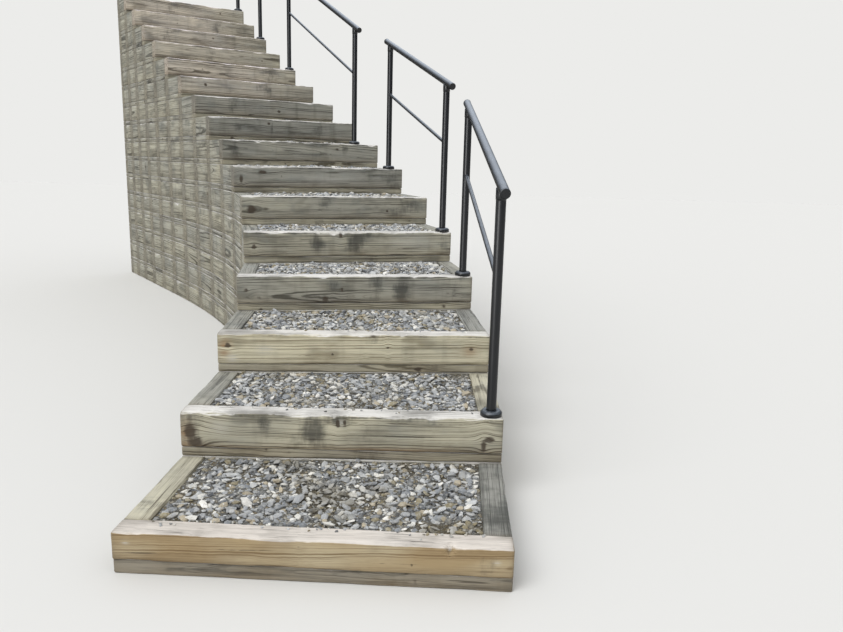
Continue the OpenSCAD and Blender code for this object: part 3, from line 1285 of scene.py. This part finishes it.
@dataclass
class Sides(Wall):
    """Side timbers of the frames, and the planks and crib walls that carry them, on one side.

    Side is -1 for the left and 1 for the right; ages tells the timbers that differ from the rest, by
    the number of their frame; darkest is the frame whose timber has gone dark, or 0.
    """

    side: int = -1
    ages: dict[int, float] = field(default_factory=dict)
    darkest: int = 0
    usual_age: float = 0.70
    damp: float = 0.25
    beat: float = 1.7
    top_rings: int = 32
    hidden_rings: int = 7

    @property
    def rot(self) -> tuple[Spot, ...]:
        """Dark stains over most of the top of the darkest timber."""
        top = PLAN.timber_height
        return Spot(RUN, -0.14, top, 0.16, 0.06, 0.7), Spot(RUN, 0.12, top, 0.20, 0.06, 0.5)

    def timber(
        self, step: int, low: float, high: float, age: float, seed: int,
        stains: Optional[tuple[Spot, ...]] = None,
    ) -> Shell:
        """One timber of this side between two levels.

        Args:
            step: Number of the frame.
            low: Level of its underside.
            high: Level of its top.
            age: Its age.
            seed: Seed of its small differences.
            stains: Marks besides its loose knots, on a side timber; None for a hidden one.

        Returns:
            The timber's shell.
        """
        start = (-PLAN.half if self.side < 0 else PLAN.inner, PLAN.timber_depth, low)
        made = Timber(
            step, Lay.UP_FLIGHT, start, PLAN.timber_depth, high - low, Look(age, self.damp), seed,
            rings=self.hidden_rings if stains is None else self.top_rings, wear=0.003,
            side_cells=(2, 2, 2, 2) if stains is None else (6, 6, 2, 6),
            spots=loose_knots(seed, high - low) + (stains or ()),
        )
        return made.shell()

    def build(self, worn: bpy.types.Material, finish: bpy.types.Material) -> list[bpy.types.Object]:
        """Makes the three pieces of this side.

        Args:
            worn: Wood of the side timbers, which are greyer on top.
            finish: Wood of the planks and crib walls.

        Returns:
            The side timbers, the planks under them and the crib walls.
        """
        hand, base = ("left", Seeds.LEFT) if self.side < 0 else ("right", Seeds.RIGHT)
        tops, planks, walls = [], [], []
        for step in range(1, PLAN.steps + 1):
            high = PLAN.top_of(step)
            stains = self.rot if step == self.darkest else ()
            age = self.ages.get(step, self.usual_age)
            tops.append(self.timber(step, high - PLAN.timber_height, high, age, base + step, stains))
            for course, foot, head, top in PLAN.courses(step):
                seed = base + 100 * step + 2 * course
                age = self.age(seed, self.beat)
                walls.append(self.timber(step, foot, head, age, seed))
                slab = self.timber(step, head, top, age + self.plank_older, seed + 1)
                (planks if course == step - 1 else walls).append(slab)
        kinds = [
            ("sides", tops, worn, "side_timber", "side_timbers"),
            ("planks", planks, finish, "plank", "planks"),
            ("crib", walls, finish, "crib_timber", "crib_walls"),
        ]
        return [
            make_piece(f"{hand}_weathered_{name}", join(shells), wood, [f"{hand}_{node}"])
            for name, shells, wood, slot, node in kinds
        ]


@dataclass
class CrossWalls(Wall):
    """The planks under the risers, the walls under those and the rear wall, laid in courses."""

    damp: float = 0.3
    beat: float = 2.3
    plank_rings: int = 44
    hidden_rings: int = 4
    rear_rings: int = 26

    def slab(self, step: int, low: float, high: float, look: Look, seed: int, rings: int) -> Shell:
        """One timber across the flight behind the face of a step.

        Args:
            step: Number of the step.
            low: Level of its underside.
            high: Level of its top.
            look: Its age and damp.
            seed: Seed of its small differences.
            rings: Cells along it.

        Returns:
            The timber's shell.
        """
        start = (-PLAN.half, PLAN.plank_setback, low)
        made = Timber(
            step, Lay.ACROSS, start, PLAN.timber_depth - PLAN.plank_setback, high - low, look, seed,
            length=PLAN.width, rings=rings, radius=0.004, wear=0.002,
            side_cells=(3, 5, 2, 5) if rings > PLAIN_RINGS else (2, 2, 2, 2),
            spots=loose_knots(seed, high - low),
        )
        return made.shell()

    def plank_look(self, step: int) -> Look:
        """Look of the plank under a riser: grey and soaked at the foot, beige and drier higher up."""
        if step == 1:
            return Look(0.84, 0.9, soak=0.15)
        return Look(0.50, max(0.25, 0.95 - 0.14 * step), soak=0.10)

    def build(self, finish: bpy.types.Material) -> list[bpy.types.Object]:
        """Makes the planks, the cross walls and the rear wall.

        Args:
            finish: The wood.

        Returns:
            The three pieces.
        """
        foot_plank = PLAN.top_of(1) - PLAN.riser_height(1)
        planks = [self.slab(1, 0.0, foot_plank, self.plank_look(1), Seeds.CROSS + 1, self.plank_rings)]
        walls, rear = [], []
        for step in range(2, PLAN.steps + 2):
            is_rear = step > PLAN.steps
            group, rings = (rear, self.rear_rings) if is_rear else (walls, self.hidden_rings)
            for course, foot, head, top in PLAN.courses(step):
                seed = Seeds.CROSS + 100 * step + 2 * course
                age = self.age(seed, self.beat)
                group.append(self.slab(step, foot, head, Look(age, self.damp), seed, rings))
                if course < step - 1:
                    look = Look(age + self.plank_older, self.damp)
                    group.append(self.slab(step, head, top, look, seed + 1, rings))
                elif not is_rear:
                    look = self.plank_look(step)
                    planks.append(self.slab(step, head, top, look, seed + 1, self.plank_rings))
        kinds = [
            ("riser_planks", planks, "plank"), ("cross_walls", walls, "crib_timber"),
            ("rear_wall", rear, "crib_timber"),
        ]
        return [
            make_piece(f"weathered_{node}", join(shells), finish, [node])
            for node, shells, slot in kinds
        ]


# Gravel


@dataclass(frozen=True)
class Scatter:
    """Stones of one kind over a bed: pitch of their grid, mean radii, and height over it in radii."""

    pitch: float
    sizes: Pair
    lift: Pair


def turned(a: Array, b: Array, angle: Array) -> tuple[Array, Array]:
    """Turns two parts of the corners of every stone by its own angle.

    Args:
        a: First part, a row for each stone.
        b: Second part.
        angle: One angle for each stone, in radians.

    Returns:
        a times the cosine less b times the sine, and a times the sine plus b times the cosine.
    """
    cos, sin = np.cos(angle)[:, None], np.sin(angle)[:, None]
    return a * cos - b * sin, a * sin + b * cos


@dataclass
class Gravel:
    """Crushed stones that lie on the bed of every frame, a few of them strayed onto the timber.

    Push, long, short and thick are ranges of factors for a stone's corners and its three sizes; lean
    is the spread and limit of its tilt, and shade a range of factors for its colour. The palette
    gives shares and colours.
    """

    laid: tuple[Scatter, ...] = (
        Scatter(0.0250, (0.0075, 0.0215), (-0.15, 0.45)), Scatter(0.0225, (0.0032, 0.0075), (-0.1, 1.2)),
    )
    push: Pair = (0.68, 1.28)
    long: Pair = (1.0, 1.45)
    short: Pair = (0.72, 1.0)
    thick: Pair = (0.42, 0.85)
    flatness: float = 0.7425
    lean: Pair = (0.32, 0.55)
    shade: Pair = (0.82, 1.18)
    roll: float = 0.0025
    roll_waves: Triple = (2.5, 2.5, 0.0)
    strays: int = 26
    stray_sizes: Pair = (0.003, 0.0065)
    stray_spread: float = 0.018
    stray_gap: float = 0.006
    palette: tuple[tuple[float, tuple[int, int, int]], ...] = (
        (0.24, (166, 169, 172)), (0.19, (136, 140, 145)), (0.17, (192, 194, 195)), (0.09, (96, 99, 103)),
        (0.12, (220, 219, 213)), (0.07, (178, 167, 145)), (0.06, (142, 133, 108)), (0.06, (240, 238, 232)),
    )

    def corners(self) -> tuple[Array, Array]:
        """The twelve corners and twenty faces of a regular solid, the form that a stone starts from."""
        g = (1 + math.sqrt(5)) / 2
        points = np.array([
            [-1, g, 0], [1, g, 0], [-1, -g, 0], [1, -g, 0], [0, -1, g], [0, 1, g],
            [0, -1, -g], [0, 1, -g], [g, 0, -1], [g, 0, 1], [-g, 0, -1], [-g, 0, 1],
        ], float)
        faces = np.array([
            [0, 11, 5], [0, 5, 1], [0, 1, 7], [0, 7, 10], [0, 10, 11], [1, 5, 9], [5, 11, 4],
            [11, 10, 2], [10, 7, 6], [7, 1, 8], [3, 9, 4], [3, 4, 2], [3, 2, 6], [3, 6, 8],
            [3, 8, 9], [4, 9, 5], [2, 4, 11], [6, 2, 10], [8, 6, 7], [9, 8, 1],
        ])
        return points / np.linalg.norm(points[0]), faces

    def stones(self, centres: Array, sizes: Array, rng: np.random.Generator) -> Shell:
        """Makes a broken stone at every centre.

        Args:
            centres: Middles of the stones.
            sizes: Their mean radii.
            rng: Source of their shapes and colours.

        Returns:
            All stones as one shell. Each corner of the regular solid is pushed in or out, the whole
            is flattened and stretched, turned about its own random axes and moved to its centre.
        """
        base, faces = self.corners()
        count, corners = len(centres), len(base)
        reach = rng.uniform(*self.push, (count, corners, 1))
        form = np.stack([rng.uniform(*side, count) for side in (self.long, self.short, self.thick)], 1)
        form[:, 2] *= self.flatness
        local = base[None] * reach * form[:, None, :] * sizes[:, None, None]
        spin = rng.uniform(0, 2 * math.pi, count)
        spread, limit = self.lean
        tilt, lean = np.clip(rng.normal(0, spread, (2, count)), -limit, limit)
        x, y, z = np.moveaxis(local, 2, 0)
        y, z = turned(y, z, tilt)
        x, z = turned(x, z, -lean)
        x, y = turned(x, y, spin)
        points = np.stack([x, y, z], 2) + centres[:, None, :]
        chances = np.array([share for share, _ in self.palette])
        tones = np.array([srgb(*colour)[:3] for _, colour in self.palette])
        pick = rng.choice(len(tones), count, p=chances / chances.sum())
        tint = np.clip(tones[pick] * rng.uniform(*self.shade, (count, 1)), 0, 1)
        tint = np.repeat(np.column_stack([tint, np.ones(count)]), corners, 0)
        groups = (faces[None] + corners * np.arange(count)[:, None, None]).reshape(-1, 3)
        return Shell(points.reshape(-1, 3), [groups], [True], {"tint": tint})

    def tread(self, step: int) -> Shell:
        """Lays the gravel of one frame.

        Args:
            step: Number of the frame.

        Returns:
            Its stones, chips and strays as one shell.
        """
        rng = np.random.default_rng(Seeds.BEDS + step)
        laid = [self.scatter(step, kind, rng) for kind in self.laid]
        laid = np.concatenate([*laid, self.stray_places(step, rng)])
        return self.stones(PLAN.to_flight(step, laid[:, :3]), laid[:, 3], rng)

    def scatter(self, step: int, kind: Scatter, rng: np.random.Generator) -> Array:
        """Spreads places over the bed of one frame.

        Args:
            step: Number of the frame.
            kind: Pitch, sizes and lift of the stones.
            rng: Source of the moves and sizes.

        Returns:
            Rows of place and radius. The middles are a grid of the pitch, each moved by up to half
            of it and kept where it clears the timbers, on a bed that rolls by a few millimetres.
        """
        low, far = PLAN.timber_depth, float(PLAN.reach(step, np.array(PLAN.inner)))
        xs, ys = np.arange(-PLAN.inner, PLAN.inner, kind.pitch), np.arange(low, far, kind.pitch)
        grid = np.stack(np.meshgrid(xs, ys), 2).reshape(-1, 2)
        grid = grid + rng.uniform(-0.5, 0.5, grid.shape) * kind.pitch
        least, most = kind.sizes
        size = least + (most - least) * rng.beta(1.7, 3.0, len(grid))
        room = size * 0.9
        keep = np.abs(grid[:, 0]) < PLAN.inner - room
        keep &= (grid[:, 1] > low + room) & (grid[:, 1] < PLAN.reach(step, grid[:, 0]) - room)
        grid, size = grid[keep], size[keep]
        level = PLAN.top_of(step) - PLAN.gravel_drop + size * rng.uniform(*kind.lift, len(size))
        level += self.roll * ripple(np.column_stack([grid, np.zeros(len(grid))]), self.roll_waves, rng)
        return np.column_stack([grid, level, size])

    def stray_places(self, step: int, rng: np.random.Generator) -> Array:
        """Places and sizes of small stones kicked onto the timber along the gravel's edge.

        Args:
            step: Number of the frame.
            rng: Source of the places and sizes.

        Returns:
            Rows of place and radius.
        """
        x = rng.uniform(-PLAN.inner, PLAN.inner, self.strays)
        y = PLAN.timber_depth - np.abs(rng.normal(0, self.stray_spread, self.strays)) - self.stray_gap
        size = rng.uniform(*self.stray_sizes, self.strays)
        return np.column_stack([x, y, PLAN.top_of(step) + size * 0.35, size])

    def build(self, stone: bpy.types.Material, bed: bpy.types.Material) -> list[bpy.types.Object]:
        """Makes the stones of every frame and dresses the beds under them.

        Args:
            stone: Finish of the loose stones.
            bed: Finish of the beds and the fill.

        Returns:
            The pieces with the stones.
        """
        for name in ("gravel_treads", "gravel_core"):
            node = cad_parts[name]
            node.data.materials.clear()
            node.data.materials.append(bed)
        steps = range(1, PLAN.steps + 1)
        return [make_piece(f"gravel_stones_{k:02d}", self.tread(k), stone) for k in steps]


# Handrail


def revolve(start: Array, end: Array, profile: Sequence[Pair], sides: int = 40) -> Shell:
    """Turns a profile about the line from start to end.

    Args:
        start: First point of the axis.
        end: Last point of the axis.
        profile: Rows of distance along the axis and radius; the first and last radius are 0.
        sides: Cells around the axis.

    Returns:
        A closed shell whose points are the start, plus the distance along the axis, plus the radius
        times the cosine and sine of the angle along two directions square to it.
    """
    axis = (end - start) / np.linalg.norm(end - start)
    aside = np.cross(axis, [0.0, 1.0, 0.0] if abs(axis[1]) < 0.9 else [1.0, 0.0, 0.0])
    aside = aside / np.linalg.norm(aside)
    angle = np.linspace(0, 2 * math.pi, sides, endpoint=False)
    ring = np.cos(angle)[:, None] * aside + np.sin(angle)[:, None] * np.cross(axis, aside)
    rows = np.array(profile)
    body = rows[1:-1]
    points = start + body[:, :1, None] * axis[None, None] + body[:, 1:, None] * ring[None]
    return closed_tube(points.reshape(-1, 3), start + rows[[0, -1], :1] * axis, sides, {})


@dataclass
class Handrail:
    """One section of handrail between two steps: posts, flanges, top rail and middle rail.

    Low and high give the step of each post and how far it stands in from the timber's end. The
    sleeve is given by its foot and head over the timber.
    """

    letter: str
    low: tuple[int, float]
    high: tuple[int, float]
    tube: float = 0.038
    middle: float = 0.020
    post_height: float = 0.848
    middle_height: float = 0.525
    overhang: float = 0.095
    cap: float = 0.002
    flange: float = 0.084
    flange_rim: float = 0.022
    flange_bevel: float = 0.008
    sleeve_wall: float = 0.0015
    sleeve: Pair = (0.817, 0.8575)
    post_back: float = 0.045

    def spots(self, height: float) -> tuple[Array, Array]:
        """Points on the axes of the lower and the upper post at a height over their timbers.

        Args:
            height: Height over each post's timber.

        Returns:
            The two points.
        """
        found = []
        for step, inset in (self.low, self.high):
            local = np.array([[PLAN.half - inset, self.post_back, PLAN.top_of(step) + height]])
            found.append(PLAN.to_flight(step, local)[0])
        return found[0], found[1]

    def uprights(self, profile: Sequence[Pair], sides: int = 40) -> Shell:
        """Turns a profile about the axis of each post, from its timber up."""
        return join([revolve(a, b, profile, sides) for a, b in zip(self.spots(0.0), self.spots(1.0))])

    def top_rail(self) -> Shell:
        """Round rail past both posts, each end closed by a cap with a thin lip."""
        r = self.tube / 2
        a, b = self.spots(self.post_height + r)
        past = (b - a) / np.linalg.norm(b - a) * (self.overhang + self.cap)
        start, end = a - past, b + past
        length = float(np.linalg.norm(end - start))
        half = [
            (0.0, 0.0), (0.0, r - 0.0035), (0.0006, r - 0.0012), (0.0018, r + 0.0006),
            (0.0034, r + 0.0009), (0.0042, r + 0.0004), (0.0046, r),
        ]
        middle = [(x, r) for x in np.linspace(0.02, length - 0.02, 9)]
        return revolve(start, end, half + middle + [(length - x, y) for x, y in half[::-1]])

    def posts(self) -> Shell:
        """Two posts, each in a thin sleeve at its head, with eased rims."""
        r, out = self.tube / 2, self.tube / 2 + self.sleeve_wall
        low, high = self.sleeve
        head = self.post_height + r * 0.8
        return self.uprights([
            (0.001, 0.0), (0.001, r), (0.03, r), (0.25, r), (0.55, r), (low - 0.006, r), (low, r),
            (low + 0.0002, out - 0.0005), (low + 0.0008, out), (high - 0.0008, out),
            (high - 0.0002, out - 0.0005), (high, r), (head, r * 0.96), (head, 0.0),
        ])

    def flanges(self) -> Shell:
        """A thick round foot under each post, its rim bevelled and eased."""
        rim, r, t, b = self.flange / 2, self.tube / 2, self.flange_rim, self.flange_bevel
        return self.uprights([
            (0.0, 0.0), (0.0, rim - 0.0008), (0.0008, rim), (t - b - 0.0006, rim),
            (t - b + 0.0004, rim - 0.0004), (t - 0.0010, rim - b + 0.0010), (t - 0.0002, rim - b),
            (t, rim - b - 0.0008), (t, r + 0.0012), (t - 0.0012, r), (t - 0.0012, 0.0),
        ], 48)

    def middle_rail(self) -> Shell:
        """Slim rail whose ends run just inside the two posts."""
        a, b = self.spots(self.middle_height)
        length = float(np.linalg.norm(b - a))
        r, s = self.middle / 2, self.tube / 2
        rows = [(s - 0.004, 0.0), (s - 0.004, r)]
        rows += [(x, r) for x in np.linspace(s + 0.02, length - s - 0.02, 7)]
        return revolve(a, b, rows + [(length - s + 0.004, r), (length - s + 0.004, 0.0)], 28)

    def build(self, finish: bpy.types.Material) -> list[bpy.types.Object]:
        """Makes the four pieces of this section.

        Args:
            finish: The paint.

        Returns:
            The pieces.
        """
        shells = {
            "posts": self.posts(), "flanges": self.flanges(),
            "top_rail": self.top_rail(), "middle_rail": self.middle_rail(),
        }
        end = self.letter
        return [
            make_piece(f"painted_{kind}_{end}", shell, finish, [f"handrail_{end}_{kind}"])
            for kind, shell in shells.items()
        ]


# Studio and camera


@dataclass(frozen=True)
class Studio:
    """Plain pale floor under soft light from above and the front left; turns are in degrees."""

    floor_size: float = 60.0
    floor: Colour = srgb(227, 227, 225)
    backdrop: Colour = srgb(236, 236, 234)
    white: Colour = srgb(255, 255, 255)
    mirrored_sky: Colour = srgb(219, 228, 240)
    sky: float = 0.72
    dim: float = 0.10
    zenith: float = 4.20
    beside_gap: float = 0.35
    sun: float = 1.55
    sun_spread: float = 38.0
    sun_turn: Triple = (38.0, -14.0, -20.0)
    tall_lamp: Pair = (3.0, 6.0)
    tall_lamp_place: Triple = (-3.3, -4.0, 3.02)
    tall_lamp_turn: Triple = (90.0, 0.0, -40.0)
    tall_lamp_level: float = 8.0

    def build_floor(self) -> None:
        """Lays the floor as stage."""
        half = self.floor_size / 2
        mesh = bpy.data.meshes.new("floor")
        corners = [(-half, -half, 0), (half, -half, 0), (half, half, 0), (-half, half, 0)]
        mesh.from_pydata(corners, [], [(0, 1, 2, 3)])
        mesh.materials.append(Sketch(bpy.data.materials.new("pale_floor")).finish(self.floor, 1.0, 0.0))
        ground = stand("floor", mesh)

    def build_world(self) -> None:
        """Even sky for the light, a pale backdrop for the camera and a garden's sky for mirrors.

        What mirrors see is dim at eye level and brightest overhead, in a gap between the sides.
        """
        world = bpy.data.worlds.new("studio")
        bpy.context.scene.world = world
        s = Sketch(world)
        rays = s.node("LightPath", {}).outputs
        parts = s.node("SeparateXYZ", {0: s.node("TexCoord", {}).outputs["Generated"]}).outputs
        gap = s.window(s.math("ABSOLUTE", parts["X"]), 0.20, 0.75, 1.0, self.beside_gap)
        overhead = s.window(parts["Z"], 0.1, 0.8, self.dim, self.zenith)
        shown = s.background(self.white, self.sky)
        special = {
            "Is Glossy Ray": s.background(self.mirrored_sky, s.times(overhead, gap)),
            "Is Camera Ray": s.background(self.backdrop, 1.0),
        }
        for kind, shader in special.items():
            shown = s.node("MixShader", {0: rays[kind], 1: shown, 2: shader}).outputs[0]
        s.close(shown)

    def hang(self, lamp: bpy.types.Light, turn: Triple) -> bpy.types.Object:
        """Puts a lamp into the scene, turned by degrees about each axis.

        Args:
            lamp: The lamp.
            turn: Its turns in degrees.

        Returns:
            The lamp's object.
        """
        made = stand(lamp.name, lamp)
        made.rotation_euler = [math.radians(angle) for angle in turn]
        return made

    def build_sun(self) -> None:
        """One broad lamp, soft enough that edges of shadows spread."""
        data = bpy.data.lights.new("soft_sun", "SUN")
        data.energy = self.sun
        data.angle = math.radians(self.sun_spread)
        self.hang(data, self.sun_turn)

    def build_tall_lamp(self) -> None:
        """A tall lamp at the front left that only polish shows, as a line of light down each tube.

        Its power is its level times its area times pi.
        """
        data = bpy.data.lights.new("tall_lamp", "AREA")
        data.shape = "RECTANGLE"
        data.size, data.size_y = self.tall_lamp
        data.energy = self.tall_lamp_level * data.size * data.size_y * math.pi
        lamp = self.hang(data, self.tall_lamp_turn)
        lamp.location = self.tall_lamp_place
        lamp.visible_camera = False
        lamp.visible_diffuse = False

    def build(self) -> None:
        """Sets up the floor, the world and the lamps, with a plain view transform."""
        self.build_floor()
        self.build_world()
        self.build_sun()
        self.build_tall_lamp()
        bpy.context.scene.view_settings.view_transform = "Standard"


@dataclass(frozen=True)
class PhotoCamera:
    """Camera at the photograph's place and angle, found from the edges of the risers and posts.

    The image is 843 by 632 pixels; turns are in degrees.
    """

    image_width: int = 843
    focal_pixels: float = 738.0
    sensor: float = 36.0
    far: float = 200.0
    place: Triple = (0.398, -2.0515, 1.256)
    turn_left: float = 2.37
    look_down: float = 11.71
    roll: float = -1.51

    def build(self) -> bpy.types.Object:
        """Makes the camera.

        Returns:
            The camera object, with its right, up and backward directions as the columns of its turn.
        """
        turns = [math.radians(angle) for angle in (self.turn_left, self.look_down, self.roll)]
        (cy, cp, cr), (sy, sp, sr) = [math.cos(a) for a in turns], [math.sin(a) for a in turns]
        level = np.array([cy, sy, 0.0])
        ahead = np.array([-sy * cp, cy * cp, -sp])
        up = np.cross(level, ahead)
        columns = [cr * level - sr * up, sr * level + cr * up, -ahead]
        data = bpy.data.cameras.new("photo_camera")
        data.sensor_width = self.sensor
        data.lens = self.focal_pixels * self.sensor / self.image_width
        data.clip_end = self.far
        camera = stand("photo_camera", data)
        turn = Matrix(np.stack(columns, 1).tolist()).to_4x4()
        camera.matrix_world = Matrix.Translation(self.place) @ turn
        bpy.context.scene.camera = camera
        return camera


def report(label: str, pieces: Sequence[bpy.types.Object]) -> None:
    """Logs the name and the number of triangles of every piece of a sub-assembly.

    Args:
        label: Name of the sub-assembly.
        pieces: Its objects.
    """
    for piece in pieces:
        sizes = np.empty(len(piece.data.polygons), np.int32)
        piece.data.polygons.foreach_get("loop_total", sizes)
        log.info("%s: %s, %d triangles", label, piece.name, int((sizes - 2).sum()))


def main() -> None:
    """Builds the studio, the camera and every sub-assembly in order."""
    logging.basicConfig(level=logging.INFO, format="%(name)s %(message)s")
    Studio().build()
    PhotoCamera().build()
    wood = WoodFinish().material()
    side_wood = WoodFinish("weathered_side_timber", bleach=0.08).material()
    left = Sides(side=-1, ages={1: 0.40, 4: 0.90})
    right = Sides(side=1, ages={1: 1.0, 2: 0.42, 3: 0.95}, darkest=1)
    report("risers", Risers().build(wood))
    report("left side", left.build(side_wood, wood))
    report("right side", right.build(side_wood, wood))
    report("cross walls", CrossWalls().build(wood))
    report("gravel", Gravel().build(StoneFinish().material(), GravelBedFinish().material()))
    paint = TubeFinish().material()
    sections = [
        Handrail("a", (2, 0.044), (4, 0.044)), Handrail("b", (5, 0.044), (7, 0.091)),
        Handrail("c", (8, 0.184), (12, 0.044)), Handrail("d", (14, 0.044), (16, 0.044)),
    ]
    for section in sections:
        report(f"handrail {section.letter}", section.build(paint))


if __name__ == "__main__":
    main()
